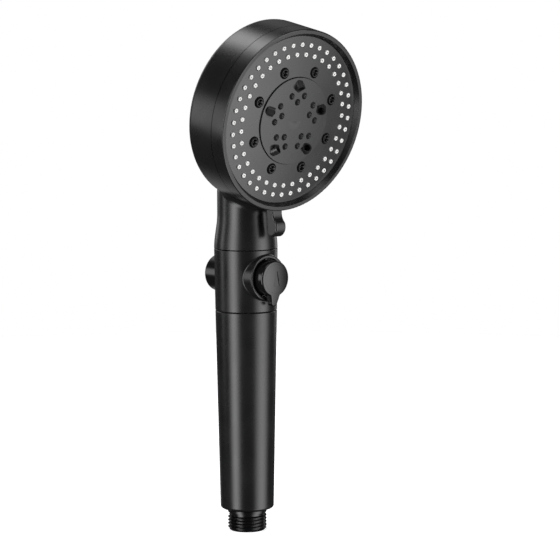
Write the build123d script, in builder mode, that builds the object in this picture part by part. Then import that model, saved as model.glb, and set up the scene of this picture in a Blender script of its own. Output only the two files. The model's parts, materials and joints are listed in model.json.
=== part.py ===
from build123d import *

import os
from math import cos, radians, sin, sqrt

# Handheld shower head: a straight grip with a hose thread at its foot, a valve housing with a
# flow knob in front and a pause button behind, and a round head whose whole face turns by a
# small lever to choose the spray.  Millimetres.  +Z runs up the grip, the face looks along -Y
# and a little down.  The origin is the centre of the hose thread's end face.

# ---------------------------------------------------------------- driving dimensions

# Hose inlet: G1/2 pipe thread
THREAD_RADIUS = 20.955 / 2
THREAD_PITCH = 1.814
THREAD_DEPTH = 1.162
THREAD_CREST = 0.26
THREAD_LEAD_IN = 1.1
RELIEF_FOOT = 8.4
LAND_FOOT = 9.9
LAND_TOP = 11.2
SHOULDER_Z = 12.0

# Grip, valve housing and neck, bottom to top
GRIP_FOOT_RADIUS = 14.41
GRIP_TOP_RADIUS = 16.56
GRIP_FOOT_ROUND = 1.6
GRIP_TOP_Z = 119.9
HOUSING_TOP_Z = 153.4
NECK_RADIUS = 17.05
NECK_WAIST_RADIUS = 15.25
NECK_WAIST_Z = 172.0
NECK_CROWN_Z = 184.0
SEAM = 0.35
SEAM_CHAMFER = 0.25

# Valve cross axis: knob in front, button behind, both on this height
CROSS_Z = 138.7
BOSS_RADIUS = 12.24
BOSS_FRONT = 18.2
BOSS_SADDLE_ROUND = 0.9
BOSS_RIM_ROUND = 0.7
BOSS_MOUTH_ROUND = 0.5
KNOB_BORE = 10.5
BUTTON_BORE = 10.2
BODY_RADIUS = 14.3

# Flow knob
KNOB_RADIUS = 9.57
KNOB_BACK = 13.4
KNOB_FRONT = 23.7
KNOB_CROWN = 0.75
KNOB_RIM_ROUND = 1.1
POINTER_BACK = 20.0
POINTER_TIP = 15.05
POINTER_ROOT_HALF = 3.7
POINTER_TIP_HALF = 2.4

# Pause button
BUTTON_RADIUS = 9.92
BUTTON_INNER_END = 13.0
BUTTON_EDGE = 22.1
BUTTON_TOP = 23.9
BUTTON_TRAVEL = 3.0

# Head: the face frame sits on the spray axis, at the tips of the outer ring of nozzles
FACE_TILT = 12.0
FACE_Y = -37.3
FACE_Z = 222.9
HEAD_RADIUS = 48.65
HEAD_SEAM = -7.9
HEAD_BACK = -30.5
HEAD_BACK_RIM = -27.2
HEAD_BACK_ROUND = 3.5
HEAD_WALL = 2.4
BEZEL_FRONT = 1.47
BEZEL_LIP_RADIUS = 46.4
PLATE_RADIUS = 44.65
PLATE_CROWN = 1.35
PLATE_DOME = 410.0
PLATE_BACK = -3.3
DISC_RADIUS = 23.1
DISC_CROWN = 2.05
DISC_DOME = 480.0
DISC_BACK = -4.4
DISC_GAP = 0.35

# Rotating water chamber behind the face
FLOOR_BACK = -13.0
FLOOR_FRONT = -11.0
WALL_TOP = -4.55
PORT_RING = 28.0
MODE_STEP = 18.0

# Nozzles
OUTER_RAIN = (40.2, 40, 0.0)
INNER_RAIN = (35.1, 35, -90.0)
RAIN_TIP_RADIUS = 1.24
RAIN_ORIFICE = 0.4
RAIN_HOLE_RADIUS = 1.45
RAIN_STAND_OFF = 0.62
RAIN_MAT_EDGES = (30.9, 44.0)
MAT_BACK = -4.5
MAT_FRONT = -3.35
JET_RING = 27.5
JET_COUNT = 8
JET_START = 22.5
JET_RADIUS = 2.85
JET_GAP = 0.2
JET_RIM = 1.2
JET_BEVEL = 0.8
JET_CONE_MOUTH = 1.8
JET_CONE_ROOT = 0.8
JET_CONE_FLOOR = -0.4
JET_BORE = 0.6
JET_FLANGE = 3.3
JET_BACK = -4.3
MASSAGE_TRIPLETS = 5
MASSAGE_PAIR_RING = 14.1
MASSAGE_PAIR_SPREAD = 18.0
MASSAGE_SINGLE_RING = 10.2
MASSAGE_RADIUS = 1.7
MASSAGE_RISE = 0.85
MASSAGE_TAPER = 50
MASSAGE_ORIFICE = 0.4
MIST_RING = 19.0
MIST_LEAN = 45.0
MIST_RADIUS = 2.5
MIST_BORE = 2.0
MIST_FOOT = -1.6
MIST_FLOOR = -0.8
MIST_TIP = 2.2
MIST_ORIFICE = 0.75
MIST_FEED_RING = 20.4
MIST_FEED_RADIUS = 0.95

# Shared clearances
FIT = 0.05
RUNNING = 0.1

# ---------------------------------------------------------------- frames

tilt = radians(FACE_TILT)
face_normal = Vector(0, -cos(tilt), -sin(tilt))
FACE = Plane(origin=(0, FACE_Y, FACE_Z), x_dir=(1, 0, 0), z_dir=face_normal)
FACE_AXIS = Axis(FACE.origin, FACE.z_dir)
FACE_SECTION = Plane(origin=FACE.origin, x_dir=(1, 0, 0), z_dir=-FACE.y_dir)

CROSS = Plane(origin=(0, 0, CROSS_Z), x_dir=(1, 0, 0), z_dir=(0, -1, 0))
CROSS_AXIS = Axis(CROSS.origin, CROSS.z_dir)
CROSS_SECTION = Plane(origin=CROSS.origin, x_dir=(1, 0, 0), z_dir=(0, 0, -1))
REAR = Plane(origin=CROSS.origin, x_dir=(1, 0, 0), z_dir=(0, 1, 0))

GRIP_SECTION = Plane.XZ


# ---------------------------------------------------------------- shared shapes


def turn(section, axis, *outline, mode=Mode.ADD):
    """Turn a closed outline of (radius, distance along the axis) points about the axis."""
    with BuildSketch(section) as profile:
        with BuildLine():
            Polyline(*outline, close=True)
        make_face()
    revolve(profile.sketch, axis=axis, mode=mode)


def turn_on_grip(*outline, mode=Mode.ADD):
    turn(GRIP_SECTION, Axis.Z, *outline, mode=mode)


def turn_on_cross(*outline, mode=Mode.ADD):
    turn(CROSS_SECTION, CROSS_AXIS, *outline, mode=mode)


def turn_on_face(*outline, mode=Mode.ADD):
    turn(FACE_SECTION, FACE_AXIS, *outline, mode=mode)


def drill(plane, radius, depth):
    """Cut a round hole from the plane along its normal."""
    with BuildSketch(plane) as mouth:
        Circle(radius)
    extrude(mouth.sketch, amount=depth, mode=Mode.SUBTRACT)


def o_ring(plane, ring_radius, cord_radius):
    with BuildPart(plane) as ring:
        Torus(ring_radius, cord_radius)
    return ring


def coil_spring(plane, coil_radius, wire_radius, length, turns):
    """A compression spring whose wire centres run from the plane along its normal."""
    with BuildPart() as upright:
        with BuildLine() as coil:
            Helix(pitch=length / turns, height=length, radius=coil_radius)
        with BuildSketch(Plane(coil.line @ 0, z_dir=coil.line % 0)):
            Circle(wire_radius)
        sweep(path=coil.line, is_frenet=True)
    with BuildPart() as spring:
        with Locations(plane):
            add(upright.part)
    return spring


def dome(crown, sphere_radius, radius):
    """Height of a domed face at a radius from its axis."""
    return crown - (sphere_radius - sqrt(sphere_radius**2 - radius**2))


def dome_radius(rim_radius, rise):
    """Radius of the sphere whose cap is this wide and this high."""
    return (rim_radius**2 + rise**2) / (2 * rise)


def plate_front(radius):
    return dome(PLATE_CROWN, PLATE_DOME, radius)


def disc_front(radius):
    return dome(DISC_CROWN, DISC_DOME, radius)


def triplet_angles():
    """Bearings of the five massage triplets on the face, one of them straight up."""
    return [90.0 + 360.0 / MASSAGE_TRIPLETS * k for k in range(MASSAGE_TRIPLETS)]


def massage_places():
    """(ring radius, bearing) of every massage nozzle."""
    places = []
    for bearing in triplet_angles():
        places.append((MASSAGE_SINGLE_RING, bearing))
        places.append((MASSAGE_PAIR_RING, bearing - MASSAGE_PAIR_SPREAD))
        places.append((MASSAGE_PAIR_RING, bearing + MASSAGE_PAIR_SPREAD))
    return places


def on_face(ring_radius, bearing, height=0.0):
    """A plane parallel to the face at a polar place, its X axis pointing outward."""
    angle = radians(bearing)
    outward = FACE.x_dir * cos(angle) + FACE.y_dir * sin(angle)
    centre = FACE.origin + outward * ring_radius + FACE.z_dir * height
    return Plane(origin=centre, x_dir=outward, z_dir=FACE.z_dir)


def mist_plane(bearing, reach=0.0):
    """The cross-section plane of a mist nozzle, which leans towards the face's centre."""
    foot = on_face(MIST_RING, bearing, disc_front(MIST_RING))
    lean = radians(MIST_LEAN)
    direction = foot.z_dir * cos(lean) - foot.x_dir * sin(lean)
    return Plane(origin=foot.origin + direction * reach, x_dir=foot.y_dir, z_dir=direction)


# ---------------------------------------------------------------- grip and inlet

NIPPLE_BORE = 7.5
NIPPLE_SHANK = 9.3
NIPPLE_FLANGE = 12.5
NIPPLE_FLANGE_TOP = 19.4
FILTER_SEAT = 10.0
TUBE_CUP_RADIUS = 10.2
TUBE_CUP_FLOOR = 20.6
TUBE_CUP_TOP = 28.0
GRIP_FLOOR_TOP = 15.4
GRIP_BORE = 12.8
GRIP_MOUTH_BORE = 13.6
GRIP_SPIGOT_FOOT = 108.0
TUBE_OUTER = 8.0
TUBE_BORE = 6.5
TUBE_FOOT = 20.8
TUBE_TOP = 117.8

# The cutter for the thread's V groove starts one pitch below the end face and runs out above the land.
with BuildPart() as thread_groove:
    groove_half = (THREAD_PITCH - THREAD_CREST) / 2
    root_half = 0.1
    overshoot = 0.3
    mouth_half = groove_half * (1 + overshoot / THREAD_DEPTH)
    groove_rise = LAND_TOP + 1.6 * THREAD_PITCH
    with BuildLine():
        thread_path = Helix(THREAD_PITCH, groove_rise, THREAD_RADIUS)
    with BuildSketch(Plane.XZ):
        with Locations((THREAD_RADIUS, 0)):
            Polygon(
                (-THREAD_DEPTH, -root_half),
                (overshoot, -mouth_half),
                (overshoot, mouth_half),
                (-THREAD_DEPTH, root_half),
                align=None,
            )
    sweep(path=thread_path, is_frenet=True)

with BuildPart() as inlet_nipple:
    turn_on_grip(
        (NIPPLE_BORE, 0),
        (THREAD_RADIUS - THREAD_LEAD_IN, 0),
        (THREAD_RADIUS, THREAD_LEAD_IN),
        (THREAD_RADIUS, LAND_TOP),
        (NIPPLE_SHANK, LAND_TOP),
        (NIPPLE_SHANK, GRIP_FLOOR_TOP),
        (NIPPLE_FLANGE, GRIP_FLOOR_TOP),
        (NIPPLE_FLANGE, NIPPLE_FLANGE_TOP),
        (TUBE_CUP_RADIUS, NIPPLE_FLANGE_TOP),
        (TUBE_CUP_RADIUS, TUBE_CUP_TOP),
        (TUBE_OUTER + FIT, TUBE_CUP_TOP),
        (TUBE_OUTER + FIT, TUBE_CUP_FLOOR),
        (TUBE_BORE, TUBE_CUP_FLOOR),
        (TUBE_BORE, FILTER_SEAT),
        (NIPPLE_BORE, FILTER_SEAT),
    )
    with Locations((0, 0, -THREAD_PITCH)):
        add(thread_groove.part, mode=Mode.SUBTRACT)
    # the thread gives way to a relief and a plain land
    with BuildSketch(Plane.XY.offset(RELIEF_FOOT)):
        Circle(THREAD_RADIUS + 1)
        Circle(NIPPLE_SHANK, mode=Mode.SUBTRACT)
    extrude(amount=LAND_TOP - RELIEF_FOOT, mode=Mode.SUBTRACT)
    with BuildSketch(Plane.XY.offset(LAND_FOOT)):
        Circle(THREAD_RADIUS)
        Circle(NIPPLE_BORE + 1, mode=Mode.SUBTRACT)
    extrude(amount=LAND_TOP - LAND_FOOT)

FILTER_FOOT = 5.2
FILTER_SHEET_TOP = 5.6
FILTER_RIM_TOP = 6.8
FILTER_RIM_BORE = 6.6
FILTER_HOLE_RADIUS = 0.45
FILTER_HOLE_PITCH = 1.45
FILTER_HOLE_ROWS = 7
RESTRICTOR_FOOT = 6.9
RESTRICTOR_TOP = 9.9
RESTRICTOR_RING = 4.2
RESTRICTOR_HOLES = 6
RESTRICTOR_HOLE_RADIUS = 1.1
INSERT_RADIUS = NIPPLE_BORE - FIT

with BuildPart() as inlet_filter:
    turn_on_grip(
        (0, FILTER_FOOT),
        (INSERT_RADIUS, FILTER_FOOT),
        (INSERT_RADIUS, FILTER_RIM_TOP),
        (FILTER_RIM_BORE, FILTER_RIM_TOP),
        (FILTER_RIM_BORE, FILTER_SHEET_TOP),
        (0, FILTER_SHEET_TOP),
    )
    with BuildSketch(Plane.XY.offset(FILTER_FOOT)):
        with HexLocations(FILTER_HOLE_PITCH / 2, FILTER_HOLE_ROWS, FILTER_HOLE_ROWS):
            Circle(FILTER_HOLE_RADIUS)
    extrude(amount=FILTER_SHEET_TOP - FILTER_FOOT, mode=Mode.SUBTRACT)

with BuildPart() as flow_restrictor:
    with BuildSketch(Plane.XY.offset(RESTRICTOR_FOOT)):
        Circle(INSERT_RADIUS)
        with PolarLocations(RESTRICTOR_RING, RESTRICTOR_HOLES):
            Circle(RESTRICTOR_HOLE_RADIUS, mode=Mode.SUBTRACT)
    extrude(amount=RESTRICTOR_TOP - RESTRICTOR_FOOT)

with BuildPart() as handle_grip:
    with BuildSketch(GRIP_SECTION) as grip_profile:
        with BuildLine():
            Polyline(
                (NIPPLE_SHANK + RUNNING, SHOULDER_Z),
                (GRIP_FOOT_RADIUS, SHOULDER_Z),
                (GRIP_TOP_RADIUS, GRIP_TOP_Z),
                (GRIP_MOUTH_BORE, GRIP_TOP_Z),
                (GRIP_MOUTH_BORE, GRIP_SPIGOT_FOOT),
                (GRIP_BORE, GRIP_SPIGOT_FOOT - 1.0),
                (GRIP_BORE, GRIP_FLOOR_TOP),
                (NIPPLE_SHANK + RUNNING, GRIP_FLOOR_TOP),
                close=True,
            )
        make_face()
        foot_corner = grip_profile.vertices().group_by(Axis.Y)[0].sort_by(Axis.X)[-1]
        fillet(foot_corner, GRIP_FOOT_ROUND)
        rim_corner = grip_profile.vertices().group_by(Axis.Y)[-1].sort_by(Axis.X)[-1]
        chamfer(rim_corner, SEAM_CHAMFER)
    revolve(axis=Axis.Z)

with BuildPart() as handle_water_tube:
    with BuildSketch(Plane.XY.offset(TUBE_FOOT)):
        Circle(TUBE_OUTER)
        Circle(TUBE_BORE, mode=Mode.SUBTRACT)
    extrude(amount=TUBE_TOP - TUBE_FOOT)

# ---------------------------------------------------------------- valve housing and body

PLUG_CHAMBER = 7.6
PLUG_RADIUS = 7.5
PLUG_STEM = 4.0
KNOB_FLOOR = 12.6
GLAND_BACK = 9.8
GLAND_RADIUS = 8.9
PARTITION_FRONT = 1.0
PAUSE_SEAT = -1.5
PAUSE_SEAT_BORE = 3.6
PAUSE_CHAMBER = 6.6
GUIDE_FRONT = -7.0
GUIDE_RADIUS = 7.9
BUTTON_FLOOR = -9.8
STEM_RADIUS = 2.2
LOWER_PORT_RADIUS = 3.0
UPPER_PORT_RADIUS = 2.4
PLENUM_DEPTH = 2.2
NECK_PLENUM_DEPTH = 3.0
TUBE_END_GAP = 0.2
SPIGOT_RADIUS = GRIP_MOUTH_BORE - FIT
SPIGOT_FOOT = 109.0
SPIGOT_TOP = 161.5
NECK_TUBE_OUTER = 4.9
NECK_TUBE_BORE = 3.8
NECK_TUBE_FOOT = 155.7
LOWER_PORT_FORWARD = 4.6
UPPER_PORT_FORWARD = -4.2
LOWER_SEAL_Z = 114.6
LOWER_SEAL_GROOVE = (9.95, 1.0)
LOWER_SEAL_RING = (9.0, 0.9)
UPPER_SEAL_Z = 158.4
UPPER_SEAL_GROOVE = (6.6, 0.9)
UPPER_SEAL_RING = (5.76, 0.8)


def grip_groove(inner, height, groove):
    """Cut a seal groove, given as (radius, half height), into the wall of a socket on the grip's axis."""
    outer, half = groove
    turn_on_grip(
        (inner, height - half),
        (outer, height - half),
        (outer, height + half),
        (inner, height + half),
        mode=Mode.SUBTRACT,
    )


with BuildPart() as valve_housing:
    with BuildSketch(GRIP_SECTION) as housing_profile:
        with BuildLine():
            Polyline(
                (0, GRIP_TOP_Z + SEAM),
                (GRIP_TOP_RADIUS, GRIP_TOP_Z + SEAM),
                (NECK_RADIUS, HOUSING_TOP_Z),
                (0, HOUSING_TOP_Z),
                close=True,
            )
        make_face()
        chamfer(housing_profile.vertices().filter_by(lambda corner: corner.X > 0), SEAM_CHAMFER)
    revolve(axis=Axis.Z)
    with BuildSketch(CROSS):
        Circle(BOSS_RADIUS)
    extrude(amount=BOSS_FRONT)
    saddle = valve_housing.edges().filter_by(GeomType.BSPLINE)
    fillet(saddle, BOSS_SADDLE_ROUND)
    boss_rim = valve_housing.faces().sort_by(Axis.Y)[0].edges()
    fillet(boss_rim, BOSS_RIM_ROUND)
    turn_on_grip(
        (0, GRIP_TOP_Z),
        (BODY_RADIUS + FIT, GRIP_TOP_Z),
        (BODY_RADIUS + FIT, HOUSING_TOP_Z),
        (0, HOUSING_TOP_Z),
        mode=Mode.SUBTRACT,
    )
    drill(CROSS, KNOB_BORE, BOSS_FRONT)
    boss_mouth = valve_housing.faces().sort_by(Axis.Y)[0].inner_wires()[0].edges()
    fillet(boss_mouth, BOSS_MOUTH_ROUND)
    drill(REAR, BUTTON_BORE, NECK_RADIUS)

with BuildPart() as valve_body:
    turn_on_grip(
        (0, SPIGOT_FOOT),
        (SPIGOT_RADIUS, SPIGOT_FOOT),
        (SPIGOT_RADIUS, GRIP_TOP_Z),
        (BODY_RADIUS, GRIP_TOP_Z + SEAM),
        (BODY_RADIUS, HOUSING_TOP_Z),
        (SPIGOT_RADIUS, HOUSING_TOP_Z),
        (SPIGOT_RADIUS, SPIGOT_TOP),
        (0, SPIGOT_TOP),
    )
    # socket, plenum and seal groove for the grip's water tube
    turn_on_grip(
        (0, SPIGOT_FOOT),
        (TUBE_OUTER + FIT, SPIGOT_FOOT),
        (TUBE_OUTER + FIT, TUBE_TOP + TUBE_END_GAP),
        (TUBE_BORE, TUBE_TOP + TUBE_END_GAP),
        (TUBE_BORE, TUBE_TOP + PLENUM_DEPTH),
        (0, TUBE_TOP + PLENUM_DEPTH),
        mode=Mode.SUBTRACT,
    )
    grip_groove(TUBE_OUTER, LOWER_SEAL_Z, LOWER_SEAL_GROOVE)
    # socket, plenum and seal groove for the neck's water tube
    turn_on_grip(
        (0, NECK_TUBE_FOOT - TUBE_END_GAP - NECK_PLENUM_DEPTH),
        (NECK_TUBE_BORE, NECK_TUBE_FOOT - TUBE_END_GAP - NECK_PLENUM_DEPTH),
        (NECK_TUBE_BORE, NECK_TUBE_FOOT - TUBE_END_GAP),
        (NECK_TUBE_OUTER + FIT, NECK_TUBE_FOOT - TUBE_END_GAP),
        (NECK_TUBE_OUTER + FIT, SPIGOT_TOP),
        (0, SPIGOT_TOP),
        mode=Mode.SUBTRACT,
    )
    grip_groove(NECK_TUBE_OUTER, UPPER_SEAL_Z, UPPER_SEAL_GROOVE)
    # cross bores, front to back
    drill(CROSS.offset(KNOB_FLOOR), KNOB_BORE, BODY_RADIUS)
    drill(CROSS.offset(GLAND_BACK), GLAND_RADIUS + FIT, BODY_RADIUS)
    drill(CROSS.offset(PARTITION_FRONT), PLUG_CHAMBER, BODY_RADIUS)
    drill(CROSS.offset(PAUSE_SEAT), PAUSE_SEAT_BORE, BODY_RADIUS)
    drill(REAR.offset(-PAUSE_SEAT), PAUSE_CHAMBER, BODY_RADIUS)
    drill(REAR.offset(-GUIDE_FRONT), GUIDE_RADIUS + FIT, BODY_RADIUS)
    drill(REAR.offset(-BUTTON_FLOOR), BUTTON_BORE, BODY_RADIUS)
    # ports that join the tubes to the two chambers
    with BuildSketch(Plane.XY.offset(TUBE_TOP + 2.0)):
        with Locations((0, -LOWER_PORT_FORWARD)):
            Circle(LOWER_PORT_RADIUS)
    extrude(amount=CROSS_Z - 5.0 - TUBE_TOP - 2.0, mode=Mode.SUBTRACT)
    with BuildSketch(Plane.XY.offset(CROSS_Z + 4.0)):
        with Locations((0, -UPPER_PORT_FORWARD)):
            Circle(UPPER_PORT_RADIUS)
    extrude(amount=NECK_TUBE_FOOT - 3.0 - CROSS_Z - 4.0, mode=Mode.SUBTRACT)

lower_joint_seal = o_ring(Plane.XY.offset(LOWER_SEAL_Z), *LOWER_SEAL_RING)
upper_joint_seal = o_ring(Plane.XY.offset(UPPER_SEAL_Z), *UPPER_SEAL_RING)

# ---------------------------------------------------------------- flow knob and regulator

KNOB_WALL = 1.4
KNOB_WEB_BACK = 20.2
KNOB_HUB_RADIUS = 5.6
STEM_FLAT = 3.1
STEM_END = 20.7
SCREW_SEAT = 21.6
CAP_RADIUS = 7.6
CAP_SEAT = 22.7
WEDGE_FLOOR = 24.1
WEDGE_TOP = 4.0
WEDGE_TOP_HALF = 0.8
WEDGE_FOOT_HALF = 2.2
KNOB_DOME = dome_radius(KNOB_RADIUS, KNOB_CROWN)
PLUG_BACK = 1.2
PLUG_POCKET = (4.4, 6.8)
PLUG_SEAL_FORWARD = 8.3
PLUG_SEAL_HALF = 0.8
PLUG_SEAL_GROOVE = 6.0
PLUG_SEAL_RING = (6.78, 0.7)
STEM_SEAL_FORWARD = 11.2
STEM_SEAL_HALF = 0.7
STEM_SEAL_GROOVE = 3.1
STEM_SEAL_RING = (3.6, 0.45)
STEM_FLAT_BACK = 15.5
SCREW_PILOT_RADIUS = 1.25
SCREW_PILOT_BACK = 14.0
SCREW_TIP = 14.5
SCREW_RADIUS = 1.2
SCREW_HEAD_RADIUS = 2.9
SPANNER_HOLE_RING = 6.6
SPANNER_HOLE_RADIUS = 0.9
SPANNER_HOLE_DEPTH = 1.2

with BuildPart() as regulator_plug:
    turn_on_cross(
        (0, PLUG_BACK),
        (PLUG_RADIUS, PLUG_BACK),
        (PLUG_RADIUS, PLUG_SEAL_FORWARD - PLUG_SEAL_HALF),
        (PLUG_SEAL_GROOVE, PLUG_SEAL_FORWARD - PLUG_SEAL_HALF),
        (PLUG_SEAL_GROOVE, PLUG_SEAL_FORWARD + PLUG_SEAL_HALF),
        (PLUG_RADIUS, PLUG_SEAL_FORWARD + PLUG_SEAL_HALF),
        (PLUG_RADIUS, GLAND_BACK - RUNNING),
        (PLUG_STEM, GLAND_BACK - RUNNING),
        (PLUG_STEM, STEM_SEAL_FORWARD - STEM_SEAL_HALF),
        (STEM_SEAL_GROOVE, STEM_SEAL_FORWARD - STEM_SEAL_HALF),
        (STEM_SEAL_GROOVE, STEM_SEAL_FORWARD + STEM_SEAL_HALF),
        (PLUG_STEM, STEM_SEAL_FORWARD + STEM_SEAL_HALF),
        (PLUG_STEM, STEM_END),
        (0, STEM_END),
    )
    pocket_radius, pocket_front = PLUG_POCKET
    drill(CROSS.offset(PLUG_BACK), pocket_radius, pocket_front - PLUG_BACK)
    drill(CROSS.offset(SCREW_PILOT_BACK), SCREW_PILOT_RADIUS, STEM_END)
    # water enters through the side that faces the lower port while the knob is open
    with BuildSketch(Plane.XY.offset(CROSS_Z - PLUG_RADIUS - 1)):
        with Locations((0, -LOWER_PORT_FORWARD + 0.6)):
            Circle(2.4)
    extrude(amount=PLUG_RADIUS, mode=Mode.SUBTRACT)
    # two flats drive the plug from the knob
    with BuildSketch(CROSS.offset(STEM_FLAT_BACK)):
        with Locations((STEM_FLAT + 1, 0), (-STEM_FLAT - 1, 0)):
            Rectangle(2, 3 * PLUG_STEM)
    extrude(amount=STEM_END, mode=Mode.SUBTRACT)

with BuildPart() as plug_gland:
    turn_on_cross(
        (PLUG_STEM + RUNNING, GLAND_BACK),
        (GLAND_RADIUS, GLAND_BACK),
        (GLAND_RADIUS, KNOB_FLOOR),
        (PLUG_STEM + RUNNING, KNOB_FLOOR),
    )
    with BuildSketch(CROSS.offset(KNOB_FLOOR - SPANNER_HOLE_DEPTH)):
        with PolarLocations(SPANNER_HOLE_RING, 2):
            Circle(SPANNER_HOLE_RADIUS)
    extrude(amount=2, mode=Mode.SUBTRACT)

plug_seal = o_ring(CROSS.offset(PLUG_SEAL_FORWARD), *PLUG_SEAL_RING)
stem_seal = o_ring(CROSS.offset(STEM_SEAL_FORWARD), *STEM_SEAL_RING)

with BuildPart() as knob_face:
    with Locations(CROSS.offset(KNOB_FRONT + KNOB_CROWN - KNOB_DOME)):
        Sphere(KNOB_DOME)

with BuildPart() as flow_knob:
    turn_on_cross(
        (0, KNOB_BACK),
        (KNOB_RADIUS, KNOB_BACK),
        (KNOB_RADIUS, KNOB_FRONT + KNOB_CROWN),
        (0, KNOB_FRONT + KNOB_CROWN),
    )
    with BuildSketch(CROSS.offset(POINTER_BACK)):
        with BuildLine():
            root_drop = sqrt(KNOB_RADIUS**2 - POINTER_ROOT_HALF**2) - 0.5
            tip_drop = POINTER_TIP - POINTER_TIP_HALF
            sides = Polyline(
                (-POINTER_TIP_HALF, -tip_drop),
                (-POINTER_ROOT_HALF, -root_drop),
                (POINTER_ROOT_HALF, -root_drop),
                (POINTER_TIP_HALF, -tip_drop),
            )
            ThreePointArc(sides @ 0, (0, -POINTER_TIP), sides @ 1)
        make_face()
    extrude(amount=KNOB_FRONT + KNOB_CROWN - POINTER_BACK)
    add(knob_face.part, mode=Mode.INTERSECT)
    knob_rim = flow_knob.faces().sort_by(Axis.Y)[0].outer_wire().edges()
    fillet(knob_rim, KNOB_RIM_ROUND)
    turn_on_cross(
        (KNOB_HUB_RADIUS, KNOB_BACK),
        (KNOB_RADIUS - KNOB_WALL, KNOB_BACK),
        (KNOB_RADIUS - KNOB_WALL, KNOB_WEB_BACK),
        (KNOB_HUB_RADIUS, KNOB_WEB_BACK),
        mode=Mode.SUBTRACT,
    )
    with BuildSketch(CROSS.offset(KNOB_BACK)):
        Circle(PLUG_STEM + FIT)
        with Locations((STEM_FLAT + FIT + 2, 0), (-STEM_FLAT - FIT - 2, 0)):
            Rectangle(4, 3 * PLUG_STEM, mode=Mode.SUBTRACT)
    extrude(amount=STEM_END + FIT - KNOB_BACK, mode=Mode.SUBTRACT)
    drill(CROSS.offset(KNOB_BACK), PLUG_STEM + FIT, STEM_FLAT_BACK - KNOB_BACK)
    drill(CROSS.offset(STEM_END), SCREW_RADIUS + 0.4, 2)
    drill(CROSS.offset(SCREW_SEAT), SCREW_HEAD_RADIUS + 0.2, 2)
    drill(CROSS.offset(CAP_SEAT), CAP_RADIUS + FIT, 2)

with BuildPart() as knob_screw:
    turn_on_cross(
        (0, SCREW_TIP),
        (SCREW_RADIUS, SCREW_TIP),
        (SCREW_RADIUS, SCREW_SEAT),
        (SCREW_HEAD_RADIUS, SCREW_SEAT),
        (SCREW_HEAD_RADIUS, CAP_SEAT - RUNNING),
        (0, CAP_SEAT - RUNNING),
    )
    with BuildSketch(CROSS.offset(SCREW_SEAT + 0.4)):
        Rectangle(3.2, 0.6)
        Rectangle(0.6, 3.2)
    extrude(amount=1, mode=Mode.SUBTRACT)

with BuildPart() as knob_cap:
    with BuildSketch(CROSS.offset(CAP_SEAT)):
        Circle(CAP_RADIUS)
    extrude(amount=KNOB_FRONT + KNOB_CROWN - CAP_SEAT)
    add(knob_face.part, mode=Mode.INTERSECT)
    # engraved wedge that widens from closed to open
    with BuildSketch(CROSS.offset(WEDGE_FLOOR)):
        with BuildLine():
            Polyline(
                (-WEDGE_TOP_HALF, WEDGE_TOP),
                (WEDGE_TOP_HALF, WEDGE_TOP),
                (WEDGE_FOOT_HALF, -WEDGE_TOP),
                (-WEDGE_FOOT_HALF, -WEDGE_TOP),
                close=True,
            )
        make_face()
    extrude(amount=1, mode=Mode.SUBTRACT)

# ---------------------------------------------------------------- pause button and its valve

POPPET_RADIUS = 5.3
WASHER_BACK = PAUSE_SEAT - BUTTON_TRAVEL - FIT
POPPET_FRONT = WASHER_BACK - 1.0
WASHER_BORE = 1.55
PIN_RADIUS = 1.5
PIN_HEAD_RADIUS = 2.3
PIN_HEAD_THICKNESS = 0.85
POPPET_THICKNESS = 0.9
GUIDE_SEAL_FORWARD = -8.4
GUIDE_SEAL_HALF = 0.7
GUIDE_SEAL_GROOVE = 3.85
GUIDE_SEAL_RING = (3.05, 0.68)
STEM_BACK = -19.9
HUB_MOUTH = -14.2
BUTTON_WEB = -20.6
BUTTON_WALL = 1.4
BUTTON_HUB = 4.4
SPRING_COIL = 6.4
SPRING_WIRE = 0.5

with BuildPart() as pause_stem:
    turn_on_cross(
        (0, WASHER_BACK + FIT + PIN_HEAD_THICKNESS),
        (PIN_HEAD_RADIUS, WASHER_BACK + FIT + PIN_HEAD_THICKNESS),
        (PIN_HEAD_RADIUS, WASHER_BACK + FIT),
        (PIN_RADIUS, WASHER_BACK + FIT),
        (PIN_RADIUS, POPPET_FRONT - FIT),
        (POPPET_RADIUS, POPPET_FRONT - FIT),
        (POPPET_RADIUS, POPPET_FRONT - FIT - POPPET_THICKNESS),
        (STEM_RADIUS, POPPET_FRONT - FIT - POPPET_THICKNESS),
        (STEM_RADIUS, STEM_BACK),
        (0, STEM_BACK),
    )

with BuildPart() as poppet_washer:
    turn_on_cross(
        (WASHER_BORE, WASHER_BACK),
        (POPPET_RADIUS - 0.2, WASHER_BACK),
        (POPPET_RADIUS - 0.2, POPPET_FRONT),
        (WASHER_BORE, POPPET_FRONT),
    )

with BuildPart() as button_guide:
    turn_on_cross(
        (STEM_RADIUS + RUNNING, GUIDE_FRONT),
        (GUIDE_RADIUS, GUIDE_FRONT),
        (GUIDE_RADIUS, BUTTON_FLOOR),
        (STEM_RADIUS + RUNNING, BUTTON_FLOOR),
        (STEM_RADIUS + RUNNING, GUIDE_SEAL_FORWARD - GUIDE_SEAL_HALF),
        (GUIDE_SEAL_GROOVE, GUIDE_SEAL_FORWARD - GUIDE_SEAL_HALF),
        (GUIDE_SEAL_GROOVE, GUIDE_SEAL_FORWARD + GUIDE_SEAL_HALF),
        (STEM_RADIUS + RUNNING, GUIDE_SEAL_FORWARD + GUIDE_SEAL_HALF),
    )

guide_seal = o_ring(CROSS.offset(GUIDE_SEAL_FORWARD), *GUIDE_SEAL_RING)

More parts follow.
